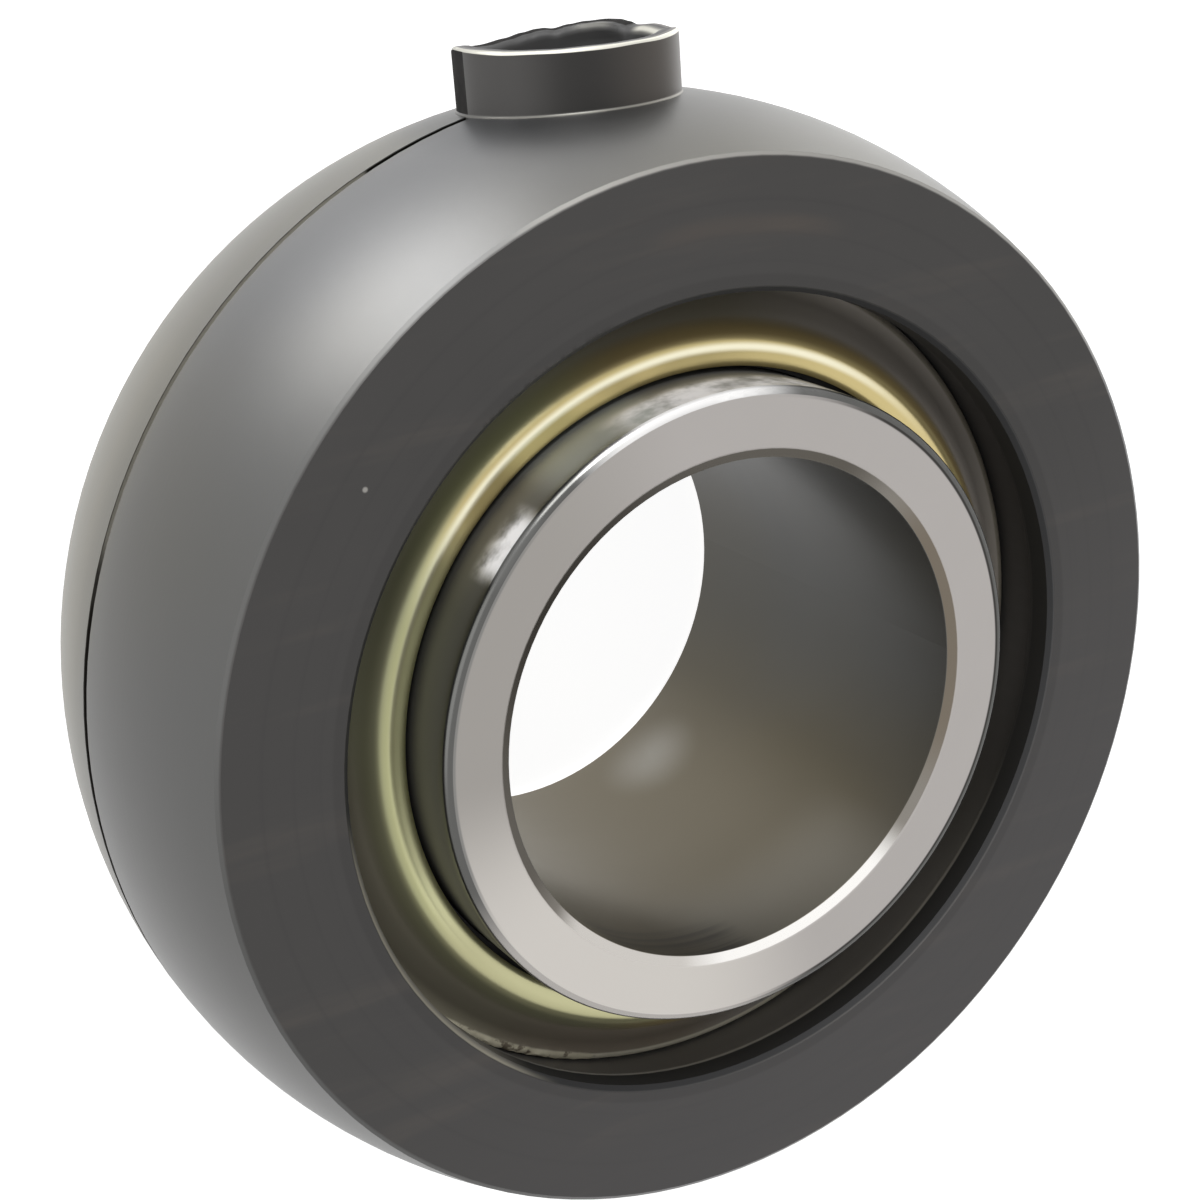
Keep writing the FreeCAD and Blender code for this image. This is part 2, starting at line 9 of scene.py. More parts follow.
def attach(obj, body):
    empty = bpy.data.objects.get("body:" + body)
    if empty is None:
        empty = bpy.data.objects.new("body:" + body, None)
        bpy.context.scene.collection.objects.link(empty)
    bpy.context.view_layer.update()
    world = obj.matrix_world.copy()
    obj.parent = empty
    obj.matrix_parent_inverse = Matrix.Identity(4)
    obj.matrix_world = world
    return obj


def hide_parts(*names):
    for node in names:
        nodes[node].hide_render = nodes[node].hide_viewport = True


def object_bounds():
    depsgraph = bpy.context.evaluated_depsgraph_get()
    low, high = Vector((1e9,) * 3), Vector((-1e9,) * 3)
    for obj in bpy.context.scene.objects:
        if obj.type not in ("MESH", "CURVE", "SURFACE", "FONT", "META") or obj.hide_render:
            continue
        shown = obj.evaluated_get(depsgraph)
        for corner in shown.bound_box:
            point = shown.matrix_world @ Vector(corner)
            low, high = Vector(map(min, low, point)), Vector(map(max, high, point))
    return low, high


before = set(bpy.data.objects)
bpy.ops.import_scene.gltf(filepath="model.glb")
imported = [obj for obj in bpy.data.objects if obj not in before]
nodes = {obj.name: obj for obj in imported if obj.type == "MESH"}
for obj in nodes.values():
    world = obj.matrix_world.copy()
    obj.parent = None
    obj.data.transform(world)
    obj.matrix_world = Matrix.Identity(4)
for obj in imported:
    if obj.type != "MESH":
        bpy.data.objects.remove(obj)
cad_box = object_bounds()


# Outer ring. Turned from bearing steel, hardened and ground, then blackened in an oxide bath. The ball-shaped
# outside keeps a grey sheen that turns olive behind the grease groove; the flat faces are darker, with fine
# grinding lines, and the seal recess is nearly black.
def node_adder(tree):
    """A function that adds a node to a tree, with sockets set or linked by name or by i and a number."""
    def add(kind, settings=None, sockets=None, **more):
        node = tree.nodes.new(kind)
        for key, setting in (settings or {}).items():
            setattr(node, key, setting)
        for key, source in {**(sockets or {}), **more}.items():
            socket = node.inputs[int(key[1:])] if key[0] == "i" and key[1:].isdigit() else node.inputs[key]
            if isinstance(source, bpy.types.NodeSocket):
                tree.links.new(source, socket)
            else:
                socket.default_value = source
        return node

    return add


def new_finish(name, colour, metallic, roughness):
    """A material, its shader and its node adder."""
    finish = bpy.data.materials.new(name)
    finish.use_nodes = True
    shader = finish.node_tree.nodes["Principled BSDF"]
    shader.inputs["Base Color"].default_value = (*colour, 1.0)
    shader.inputs["Metallic"].default_value = metallic
    shader.inputs["Roughness"].default_value = roughness
    return finish, shader, node_adder(finish.node_tree)


def link(shader, socket, source):
    shader.id_data.links.new(source, shader.inputs[socket])


def work_out(add, operation, first, second=0.0):
    return add("ShaderNodeMath", {"operation": operation}, i0=first, i1=second).outputs[0]


def step_between(add, source, low, high):
    """0 below low, 1 above high, smooth between; the other way round if low is the larger."""
    node = add("ShaderNodeMapRange", {"interpolation_type": "SMOOTHSTEP"},
               i0=source, i1=low, i2=high, i3=0.0, i4=1.0)
    return node.outputs[0]


def range_to(add, source, low, high):
    """Spreads a 0 to 1 value between low and high."""
    return add("ShaderNodeMapRange", {}, i0=source, i1=0.0, i2=1.0, i3=low, i4=high).outputs[0]


def both(add, first, second):
    return work_out(add, "MULTIPLY", first, second)


def either(add, first, second):
    return work_out(add, "MAXIMUM", first, second)


def outside_of(add, share):
    return work_out(add, "SUBTRACT", 1.0, share)


def length_of(add, first, second):
    """Length of the long side over two short ones at a right angle."""
    return work_out(add, "SQRT", work_out(add, "ADD", both(add, first, first), both(add, second, second)))


def mix_colours(add, share, first, second):
    node = add("ShaderNodeMix", {"data_type": "RGBA"})
    for socket, source in ((0, share), (6, first), (7, second)):
        if isinstance(source, bpy.types.NodeSocket):
            node.id_data.links.new(source, node.inputs[socket])
        elif socket == 0:
            node.inputs[socket].default_value = source
        else:
            node.inputs[socket].default_value = (*source, 1.0)
    return node.outputs[2]


def place_and_radius(add):
    """Object coordinates, split, and the distance from the shaft axis."""
    place = add("ShaderNodeTexCoord").outputs["Object"]
    x, y, z = add("ShaderNodeSeparateXYZ", {}, Vector=place).outputs
    return place, x, y, z, length_of(add, x, y)


def distance_to(add, place, spot):
    return add("ShaderNodeVectorMath", {"operation": "DISTANCE"}, i0=place, i1=spot).outputs["Value"]


def sector(add, x, y, radius, middle, half, soft):
    """1 within half an angle of a direction about the shaft axis, in degrees from +X, fading over soft."""
    along = work_out(add, "ADD", both(add, x, math.cos(math.radians(middle))),
                     both(add, y, math.sin(math.radians(middle))))
    cosine = work_out(add, "DIVIDE", along, radius)
    return step_between(add, cosine, math.cos(math.radians(half + soft)), math.cos(math.radians(half)))


def tint_sectors(add, x, y, radius, colour, stretches):
    """Tints stretches about the shaft axis, each with its middle, half and soft angle, share and tone."""
    for middle, half, soft, share, tone in stretches:
        stretch = both(add, sector(add, x, y, radius, middle, half, soft), share)
        colour = mix_colours(add, stretch, colour, tone)
    return colour


def noise(add, vector, scale, detail=4.0, roughness=0.5, distortion=0.0):
    node = add("ShaderNodeTexNoise", {}, Vector=vector, Scale=scale, Detail=detail, Roughness=roughness,
               Distortion=distortion)
    return node.outputs["Fac"]


def line_noise(add, source, scale, detail=3.0):
    """Noise along one value, for turning and grinding lines."""
    node = add("ShaderNodeTexNoise", {"noise_dimensions": "1D"}, W=source, Scale=scale, Detail=detail)
    return node.outputs["Fac"]


def bump(add, shader, height, distance, strength=1.0):
    node = add("ShaderNodeBump", {}, Height=height, Distance=distance, Strength=strength)
    link(shader, "Normal", node.outputs["Normal"])


def dress(node_names, finish):
    for name in node_names:
        materials = nodes[name].data.materials
        materials.clear()
        materials.append(finish)


# Sizes in metres from the middle of the bearing. The recess limit lies just outside the seal recess.
ring_face = 0.0184
face_corner = 0.0181
mouth_radius = 0.0355
recess_limit = 0.037
ball_outside = 0.05
groove_plane = -0.00175
groove_half = 0.00048
# Directions square to the sleeve's axis: away from the camera, and to the camera's right
away = Vector((0.488, 0.0, -0.873))
aside = Vector((0.873, 0.0, 0.488))
oxide, shader, add = new_finish("black_oxide_steel", (0.07, 0.068, 0.066), 0.9, 0.42)
place, x, y, z, radius = place_and_radius(add)
height = work_out(add, "ABSOLUTE", z)
mottle = noise(add, place, 38.0, 5.0, 0.6, 0.4)
clouds = noise(add, place, 16.0, 2.0)
on_face = step_between(add, height, ring_face - 0.00015, ring_face - 0.00002)
on_edge = both(add, step_between(add, height, face_corner - 0.00004, face_corner + 0.00004),
               step_between(add, radius, 0.045, 0.0455))
inside = step_between(add, radius, recess_limit + 0.0002, recess_limit - 0.0002)

# Ball-shaped outside and its grease groove, with painted shade and light, and a painted highlight along its
# edge
grey = mix_colours(add, range_to(add, mottle, 0.0, 1.0), (0.135, 0.137, 0.14), (0.158, 0.158, 0.16))
olive = mix_colours(add, range_to(add, mottle, 0.0, 1.0), (0.15, 0.142, 0.118), (0.18, 0.17, 0.138))
behind_groove = both(add, step_between(add, z, 0.0005, -0.0035), 0.7)
clouded = both(add, step_between(add, clouds, 0.45, 0.7), 0.6)
olive_share = work_out(add, "MINIMUM", work_out(add, "ADD", behind_groove, clouded), 1.0)
sheen = mix_colours(add, olive_share, grey, olive)
# Painted shade: the outside darkened on its left, towards the front face
dim = both(add, sector(add, x, y, radius, 195.0, 38.0, 40.0), step_between(add, z, -0.009, 0.003))
sheen = mix_colours(add, both(add, dim, 0.75), sheen, (0.085, 0.084, 0.08))
lengthwise = work_out(add, "SUBTRACT", z, groove_plane)
off_sleeve = length_of(add, x, lengthwise)
# Painted shade of the sleeve: the outside darkened round the sleeve's foot, on its left
by_sleeve = both(add, step_between(add, off_sleeve, 0.0175, 0.011), step_between(add, y, 0.0, 0.02))
across_sleeve = work_out(add, "ADD", both(add, x, aside.x), both(add, lengthwise, aside.z))
by_sleeve = both(add, by_sleeve, step_between(add, across_sleeve, 0.002, -0.007))
sheen = mix_colours(add, both(add, by_sleeve, 0.7), sheen, (0.06, 0.062, 0.066))
from_middle = add("ShaderNodeVectorMath", {"operation": "LENGTH"}, Vector=place).outputs["Value"]
from_plane = work_out(add, "ABSOLUTE", lengthwise)
in_groove = both(add, step_between(add, from_middle, ball_outside - 0.00006, ball_outside - 0.00012),
                 step_between(add, from_plane, groove_half + 0.00002, groove_half - 0.00002))
in_groove = both(add, in_groove, step_between(add, from_middle, 0.0488, 0.049))
# Painted shade and light in the grease groove: darkened beside the sleeve and at the left, lightened between
# them so that its shade fades out
slot_by_sleeve = sector(add, x, y, radius, 93.0, 19.3, 0.5)
left_line = sector(add, x, y, radius, 172.0, 12.0, 5.0)
groove_dark = either(add, slot_by_sleeve, both(add, left_line, 0.75))
groove_tone = mix_colours(add, sector(add, x, y, radius, 137.0, 24.0, 2.0), sheen, (0.36, 0.35, 0.32))
groove_tone = mix_colours(add, groove_dark, groove_tone, (0.02, 0.018, 0.014))
sheen = mix_colours(add, in_groove, sheen, groove_tone)
# Painted highlight along the edge between the outside and the face, at the top
edge_highlight = both(add, sector(add, x, y, radius, 68.0, 32.0, 14.0), 0.85)
sheen = mix_colours(add, both(add, on_edge, edge_highlight), sheen, (0.36, 0.35, 0.33))

# Flat faces: grinding strokes, painted light to the lower right, a stained arc, nicks and a pale line at the
# mouth, two bright specks
rings = line_noise(add, radius, 900.0, 5.0)
strokes = add("ShaderNodeMapping", {}, Vector=place)
strokes.inputs["Rotation"].default_value = (0.0, 0.0, math.radians(-24.0))
strokes.inputs["Scale"].default_value = (26.0, 260.0, 1.0)
stroke = noise(add, strokes.outputs["Vector"], 1.0, 4.0, 0.6)
strong_stroke = both(add, step_between(add, stroke, 0.5, 0.75), 0.45)
strong_ring = both(add, step_between(add, rings, 0.55, 0.8), 0.3)
# Painted light: the face lightened towards its lower right
light_side = step_between(add, work_out(add, "SUBTRACT", both(add, x, 0.6), y), -0.01, 0.05)
ground = mix_colours(add, range_to(add, mottle, 0.1, 0.7), (0.058, 0.0565, 0.055), (0.079, 0.076, 0.074))
ground = mix_colours(add, strong_stroke, ground, (0.098, 0.088, 0.079))
ground = mix_colours(add, strong_ring, ground, (0.05, 0.049, 0.049))
ground = mix_colours(add, both(add, light_side, 0.35), ground, (0.1, 0.096, 0.098))
brown_ring = both(add, step_between(add, radius, 0.0398, 0.0408), step_between(add, radius, 0.0422, 0.0412))
brown_ring = both(add, brown_ring, sector(add, x, y, radius, 84.0, 6.0, 9.0))
ground = mix_colours(add, both(add, brown_ring, both(add, stroke, 0.55)), ground, (0.115, 0.094, 0.078))
nicks = step_between(add, noise(add, place, 1700.0, 3.0, 0.6), 0.48, 0.56)
near_mouth = both(add, step_between(add, radius, mouth_radius + 0.0009, mouth_radius + 0.0001),
                  sector(add, x, y, radius, 116.0, 10.0, 4.0))
ground = mix_colours(add, both(add, both(add, near_mouth, nicks), 0.7), ground, (0.018, 0.017, 0.016))
for speck, size in (((-0.03122, 0.02667, ring_face), 0.0003), ((-0.01725, 0.031, ring_face), 0.00022)):
    on_speck = step_between(add, distance_to(add, place, speck), size, size * 0.4)
    ground = mix_colours(add, on_speck, ground, (0.3, 0.29, 0.27))
# A pale line along the mouth's edge at the foot
mouth_line = step_between(add, radius, mouth_radius + 0.00011, mouth_radius + 0.00006)
pale_mouth_part = sector(add, x, y, radius, 288.0, 24.0, 16.0)
ground = mix_colours(add, both(add, both(add, mouth_line, pale_mouth_part), 0.6), ground, (0.24, 0.24, 0.24))

# Seal recess: darkest at the top, paler at the foot and in its depth by painted light, with a land in front
deep = step_between(add, height, 0.0168, 0.0125)
recess = mix_colours(add, range_to(add, mottle, 0.1, 0.6), (0.045, 0.045, 0.048), (0.062, 0.06, 0.06))
recess = mix_colours(add, sector(add, x, y, radius, 275.0, 24.0, 40.0), recess, (0.34, 0.33, 0.31))
recess = mix_colours(add, both(add, deep, 0.5), recess, (0.16, 0.15, 0.14))
land = both(add, step_between(add, radius, mouth_radius + 0.0008, mouth_radius + 0.0006),
            step_between(add, height, 0.0158, 0.016))
# Painted light on the land at the left
land_lit = sector(add, x, y, radius, 206.0, 14.0, 14.0)
recess = mix_colours(add, land, recess,
                     mix_colours(add, land_lit, (0.042, 0.042, 0.043), (0.19, 0.18, 0.16)))
# A pale band at the top of the recess wall along the mouth, at the lower left
pale_mouth_band = both(add, step_between(add, height, ring_face - 0.0005, ring_face - 0.0001),
                  sector(add, x, y, radius, 208.0, 16.0, 14.0))
recess = mix_colours(add, both(add, pale_mouth_band, 0.6), recess, (0.5, 0.47, 0.38))

colour = mix_colours(add, on_face, sheen, ground)
in_recess = both(add, inside, outside_of(add, on_face))
link(shader, "Base Color", mix_colours(add, in_recess, colour, recess))
coarse = both(add, inside, 0.22)
link(shader, "Roughness", work_out(add, "ADD", range_to(add, mottle, 0.35, 0.43), coarse))
lines = mix_colours(add, on_face, line_noise(add, z, 2600.0), line_noise(add, radius, 4200.0))
bump(add, shader, lines, 0.000004, 0.6)
dress(["outer_ring"], oxide)


# Locating sleeve. A turned steel tube pressed into a pocket of the outer ring and blackened with it. The cut
# edge of its rim is bright, the back of the rim was beaten down unevenly and rolled in, and the press fit has
# raised a bright edge round its foot. The lists give a value at angles about its axis, with 0 at the back.
sleeve_radius = 0.009525
sleeve_bore = 0.0076
sleeve_foot = 0.045
sleeve_top = 0.0545
millimetre = 0.001
rim_drops = [
    (-180, 0.0), (-105, 0.0), (-90, 0.32), (-72, 0.8), (-50, 1.05), (-34, 0.85), (-23, 0.6), (-15, 0.42),
    (-11, 0.4), (-6, 0.52), (3, 0.3), (12, 0.12), (24, 0.0), (32, 0.04), (38, 0.2), (43, 0.42), (58, 0.26),
    (78, 0.34), (92, 0.12), (105, 0.0), (180, 0.0),
]
rim_rolled = [(-180, 0.0), (-30, 0.0), (-12, 0.3), (14, 0.7), (28, 1.0), (38, 0.8), (44, 0.0), (180, 0.0)]
edge_bared = [(-180, 0.9), (-110, 0.55), (-96, 0.3), (-86, 0.0), (44, 0.0), (56, 0.7), (110, 1.0), (180, 0.9)]
# Painted shade: share of near-black on the rim's chamfer and top, over the back
rim_painted_dark = [(-180, 0.0), (-100, 0.0), (-84, 0.8), (40, 1.0), (46, 0.0), (180, 0.0)]
# Painted highlights on the inner wall just under the rim, which take the bared edges' bright colour
rim_glints = [
    (-180, 0.0), (2, 0.0), (14, 0.16), (26, 0.2), (36, 0.0), (46, 0.0), (56, 0.6), (84, 0.6), (100, 0.0),
    (180, 0.0),
]
foot_bared = [(-180, 0.16), (-110, 0.05), (60, 0.0), (110, 0.3), (180, 0.16)]
sleeve_steps = 360


def between(pairs, angle):
    """Smooth value at an angle, between the listed ones."""
    for (low, first), (high, last) in zip(pairs, pairs[1:]):
        if low <= angle <= high:
            share = (angle - low) / (high - low)
            return first + (last - first) * share * share * (3 - 2 * share)
    return pairs[-1][1]


def sleeve_direction(angle):
    """Way out from the sleeve's axis at an angle from the back, in degrees."""
    return away * math.cos(math.radians(angle)) + aside * math.sin(math.radians(angle))


def sleeve_section(angle):
    """Outline of the wall at an angle: radius, height, share of bared edge and painted glint, and share of
    painted dark, of each point.
    """
    direction = sleeve_direction(angle)
    on_ball = math.sqrt(ball_outside ** 2 - (direction.x * sleeve_radius) ** 2
                        - (groove_plane + direction.z * sleeve_radius) ** 2)
    wobble = 0.00002 * math.sin(math.radians(angle * 5)) + 0.00001 * math.sin(math.radians(angle * 13 + 40))
    top = sleeve_top - between(rim_drops, angle) * millimetre + wobble - 0.00003
    roll = between(rim_rolled, angle)
    cut = between(edge_bared, angle)
    black = between(rim_painted_dark, angle)
    glint = between(rim_glints, angle)
    foot = between(foot_bared, angle)
    chamfer = 0.00024 + 0.00003 * math.sin(math.radians(angle * 7))
    flare = 0.00011 + 0.00003 * math.sin(math.radians(angle * 3 + 20))
    inner = sleeve_bore - 0.0003 * roll
    return [
        (sleeve_bore + 0.0003, sleeve_foot, 0, 0),
        (sleeve_radius - 0.0003, sleeve_foot, 0, 0),
        (sleeve_radius, sleeve_foot + 0.0003, 0, 0),
        (sleeve_radius, on_ball - 0.0005, 0, 0),
        (sleeve_radius + flare, on_ball - 0.0003, foot, 0),
        (sleeve_radius + flare, on_ball + 0.00002, foot, 0),
        (sleeve_radius + flare * 0.5, on_ball + 0.0001, foot, 0),
        (sleeve_radius, on_ball + 0.00018, 0, 0),
        (sleeve_radius, on_ball + 0.00026, 0, 0),
        (sleeve_radius, (on_ball + top) / 2, 0, 0),
        (sleeve_radius, top - chamfer - 0.00012, 0, 0),
        (sleeve_radius, top - chamfer - 0.00004, 0, 0),
        (sleeve_radius, top - chamfer, cut, black),
        (sleeve_radius - chamfer * 0.3, top - chamfer * 0.35, cut, black),
        (sleeve_radius - chamfer, top, cut, black),
        (sleeve_radius - chamfer - 0.00004, top, 0, black),
        (sleeve_radius - chamfer - 0.0004, top, 0, black),
        (sleeve_radius - chamfer - 0.0007, top, 0, black * 0.3),
        (sleeve_bore + 0.0006 - 0.0003 * roll, top - 0.00004, glint * 0.3, 0),
        (inner + 0.0003 - 0.0002 * roll, top - 0.00012, glint, 0),
        (inner + 0.00008, top - 0.00028, glint, 0),
        (inner, top - 0.0005, glint * 0.3, 0),
        (inner + 0.00006 * roll, top - 0.0008, 0, 0),
        (sleeve_bore - 0.00008 * roll, top - 0.0013, 0, 0),
        (sleeve_bore, top - 0.0018, 0, 0),
        (sleeve_bore, top - 0.002, 0, 0),
        (sleeve_bore, sleeve_foot + 0.0003, 0, 0),
    ]


sleeve_points = []
sleeve_bared_and_glint = []
sleeve_painted_dark = []
for step in range(sleeve_steps):
    angle = step * 360.0 / sleeve_steps - 180.0
    direction = sleeve_direction(angle)
    for reach, level, bared, blackened in sleeve_section(angle):
        sleeve_points.append((direction.x * reach, level, groove_plane + direction.z * reach))
        sleeve_bared_and_glint.append(float(bared))
        sleeve_painted_dark.append(float(blackened))

# Faces of one step, each numbered as the point of the outline that it starts from: the lowest of the bare
# wall, the one just below its chamfer and the innermost of the rim's flat top
wall_face = 7
chamfer_face = 11
rim_face = 17
sleeve_across = len(sleeve_points) // sleeve_steps
sleeve_faces = []
sleeve_dark_faces = []
for step in range(sleeve_steps):
    angle = step * 360.0 / sleeve_steps - 180.0
    here = step * sleeve_across
    there = (step + 1) % sleeve_steps * sleeve_across
    for side in range(sleeve_across):
        following = (side + 1) % sleeve_across
        sleeve_faces.append((here + side, here + following, there + following, there + side))
        # Faces painted near-black as shade: the rim over the back and a strip down the wall at the left
        painted_dark_rim = chamfer_face <= side <= rim_face and -84.0 < angle < 41.0
        painted_dark_wall = wall_face <= side <= chamfer_face and -119.0 < angle < -84.0
        sleeve_dark_faces.append(int(painted_dark_rim or painted_dark_wall))


def close_up(mesh, sharp_degrees):
    """Turns all faces outwards and keeps only the edges that bend more than an angle sharp."""
    shape = bmesh.new()
    shape.from_mesh(mesh)
    bmesh.ops.recalc_face_normals(shape, faces=shape.faces)
    shape.to_mesh(mesh)
    shape.free()
    mesh.polygons.foreach_set("use_smooth", [True] * len(mesh.polygons))
    mesh.set_sharp_from_angle(angle=math.radians(sharp_degrees))


def new_piece(name, mesh, body, replaced):
    piece = bpy.data.objects.new(name, mesh)
    bpy.context.scene.collection.objects.link(piece)
    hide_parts(replaced)
    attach(piece, body)
    return piece


sleeve_finish, shader, add = new_finish("blackened_sleeve_steel", (0.07, 0.068, 0.064), 0.9, 0.4)
place, x, y, z, radius = place_and_radius(add)
mottle = noise(add, place, 60.0, 5.0, 0.6, 0.3)
lengthwise = work_out(add, "SUBTRACT", z, groove_plane)
off_axis = length_of(add, x, lengthwise)
across_sleeve = work_out(add, "ADD", both(add, x, aside.x), both(add, lengthwise, aside.z))
to_side = work_out(add, "DIVIDE", across_sleeve, off_axis)
in_tube = step_between(add, off_axis, 0.0090, 0.0086)
# Painted light: the wall lighter towards its left and its right side, browner at the right
left_part = both(add, step_between(add, to_side, -0.1, -0.7), 0.8)
right_part = both(add, step_between(add, to_side, 0.15, 0.9), 0.85)
wall = mix_colours(add, range_to(add, mottle, 0.1, 0.8), (0.036, 0.035, 0.034), (0.05, 0.048, 0.046))
wall = mix_colours(add, left_part, wall, (0.07, 0.068, 0.066))
wall = mix_colours(add, right_part, wall, (0.1, 0.09, 0.081))
bore_wall = mix_colours(add, mottle, (0.08, 0.08, 0.081), (0.105, 0.104, 0.103))
wall = mix_colours(add, in_tube, wall, bore_wall)
bared = add("ShaderNodeAttribute", {"attribute_name": "bared"}).outputs["Fac"]
blackened = add("ShaderNodeAttribute", {"attribute_name": "blackened"}).outputs["Fac"]
# Painted shade: near-black on the rim's chamfer and top over the back
wall = mix_colours(add, both(add, blackened, 0.9), wall, (0.008, 0.008, 0.0085))
# Bared edges and the painted glints under the rim take this bright colour
bright = mix_colours(add, range_to(add, mottle, 0.2, 0.9), (0.92, 0.9, 0.82), (0.7, 0.69, 0.6))
link(shader, "Base Color", mix_colours(add, bared, wall, bright))
link(shader, "Roughness", work_out(add, "ADD", range_to(add, mottle, 0.34, 0.46), both(add, in_tube, 0.25)))
bump(add, shader, line_noise(add, y, 3000.0), 0.000004, 0.6)

# Painted shade: a near-black finish with little shine for the rim's back and the wall's left strip, mottled
# and bumped
dark_rim_finish, shader, add = new_finish("painted_dark_rim", (0.02, 0.02, 0.02), 0.0, 0.9)
shader.inputs["Specular IOR Level"].default_value = 0.05
place, x, y, z, radius = place_and_radius(add)
dark_rim_mottle = noise(add, place, 700.0, 4.0, 0.6)
link(shader, "Base Color", mix_colours(add, dark_rim_mottle, (0.016, 0.016, 0.017), (0.05, 0.048, 0.046)))
bump(add, shader, dark_rim_mottle, 0.00002, 0.6)

sleeve_mesh = bpy.data.meshes.new("locating_sleeve_rolled")
sleeve_mesh.from_pydata(sleeve_points, [], sleeve_faces)
sleeve_mesh.attributes.new("bared", "FLOAT", "POINT").data.foreach_set("value", sleeve_bared_and_glint)
sleeve_mesh.attributes.new("blackened", "FLOAT", "POINT").data.foreach_set("value", sleeve_painted_dark)
close_up(sleeve_mesh, 38.0)
sleeve_mesh.materials.append(sleeve_finish)
sleeve_mesh.materials.append(dark_rim_finish)
sleeve_mesh.polygons.foreach_set("material_index", sleeve_dark_faces)
new_piece("locating_sleeve_rolled", sleeve_mesh, "outer", "locating_sleeve")


# Inner ring. Bearing steel, through-hardened: end faces ground pale, outside turned smooth, with painted
# glints on two scuffed patches, bore honed, darker and browner with a painted highlight, chamfers cut bright.
# The outside limit parts the bore's side of the ring from its outside, which has a radius of 28.2 mm.
bore_radius = 0.022225
chamfer_radius = 0.0232
corner_radius = 0.0275
corner_height = 0.0198
outside_limit = 0.0265
ring_end = 0.0204
bearing_steel, shader, add = new_finish("ground_bearing_steel", (0.42, 0.41, 0.385), 1.0, 0.3)
place, x, y, z, radius = place_and_radius(add)
height = work_out(add, "ABSOLUTE", z)
stain = noise(add, place, 45.0, 5.0, 0.65, 0.5)
slow = noise(add, place, 20.0, 2.0)
in_bore = step_between(add, radius, bore_radius + 0.000055, bore_radius + 0.000015)
on_end = both(add, step_between(add, height, ring_end - 0.0001, ring_end - 0.00004),
              step_between(add, radius, corner_radius + 0.00008, corner_radius))
on_chamfer = both(add, step_between(add, radius, chamfer_radius - 0.00001, chamfer_radius - 0.00004),
                  outside_of(add, in_bore))
on_corner = both(add, step_between(add, height, corner_height - 0.00004, corner_height + 0.00004),
                 step_between(add, radius, corner_radius - 0.00003, corner_radius + 0.00005))

# Outside: a painted reflection near the top, painted shade at the left, and painted glints on two scuffed
# patches
outside = mix_colours(add, step_between(add, slow, 0.35, 0.65), (0.17, 0.166, 0.152), (0.26, 0.258, 0.245))
outside = mix_colours(add, range_to(add, stain, 0.0, 0.5), outside, (0.13, 0.124, 0.11))
# Painted reflection: grey-green near the top; painted shade: darker at the left
outside = tint_sectors(add, x, y, radius, outside, [
    (112.0, 6.0, 9.0, 0.7, (0.42, 0.44, 0.41)), (192.0, 42.0, 16.0, 0.85, (0.075, 0.073, 0.065)),
])
scuff_and_glint_noise = noise(add, place, 210.0, 4.0, 0.6)
past_limit = step_between(add, radius, outside_limit - 0.0001, outside_limit + 0.0001)
outer_side = both(add, past_limit, outside_of(add, on_end))
# Painted glints, each on a scuffed patch: bright, less metallic spots on the outside
scuff_and_glint = both(add, sector(add, x, y, radius, 135.5, 3.0, 5.0), step_between(add, z, 0.0160, 0.0182))
scuff_and_glint = both(add, scuff_and_glint, outer_side)
wipe_and_glint = both(add, sector(add, x, y, radius, 88.0, 15.0, 9.0), step_between(add, z, 0.0152, 0.017))
wipe_and_glint = both(add, wipe_and_glint, outer_side)
for marked, threshold, tone in ((scuff_and_glint, 0.34, (1.0, 0.99, 1.0)), (wipe_and_glint, 0.3, (0.8, 0.78, 0.78))):
    outside = mix_colours(add, both(add, marked, step_between(add, scuff_and_glint_noise, threshold, 0.6)), outside, tone)

# End faces, and the rounded corner round them, painted bright at the top, pale at the foot and dark elsewhere
pale = mix_colours(add, range_to(add, stain, 0.0, 0.6), (0.45, 0.425, 0.41), (0.4, 0.38, 0.36))
# Painted shade and light on the end faces: darker at the left, lighter at the lower left
pale = tint_sectors(add, x, y, radius, pale, [
    (160.0, 22.0, 42.0, 0.8, (0.33, 0.312, 0.29)), (232.0, 14.0, 42.0, 0.85, (0.64, 0.61, 0.57)),
])
# Painted highlight on the corner at the top, painted pale at the foot, painted dark elsewhere
corner_light_and_shade = mix_colours(add, sector(add, x, y, radius, 98.0, 8.0, 16.0),
                          (0.12, 0.12, 0.115), (0.95, 0.94, 0.93))
corner_light_and_shade = mix_colours(add, sector(add, x, y, radius, 238.0, 22.0, 20.0), corner_light_and_shade, (0.42, 0.4, 0.38))
# A band of the end face next to the corner is painted as shade of a wider rounding, lighter at the left, left
# out where lit
lit_parts = either(add, sector(add, x, y, radius, 98.0, 14.0, 30.0),
                   sector(add, x, y, radius, 238.0, 26.0, 22.0))
rounding_shade_band = both(add, step_between(add, radius, corner_radius - 0.00028, corner_radius - 0.00012),
             range_to(add, lit_parts, 1.0, 0.0))
painted_rounding = mix_colours(add, sector(add, x, y, radius, 180.0, 50.0, 25.0),
                      (0.05, 0.048, 0.045), (0.24, 0.235, 0.225))
pale = mix_colours(add, rounding_shade_band, pale, painted_rounding)

# Bore: browner low down; painted light, shade and a soft highlight, and painted shadow in streaks near the
# front
honed = mix_colours(add, step_between(add, slow, 0.4, 0.62), (0.122, 0.118, 0.108), (0.118, 0.104, 0.074))
# Painted light and shade: lighter low down, darker at the right
honed = tint_sectors(add, x, y, radius, honed, [
    (262.0, 30.0, 35.0, 0.75, (0.205, 0.182, 0.137)), (20.0, 25.0, 40.0, 0.6, (0.07, 0.072, 0.073)),
])
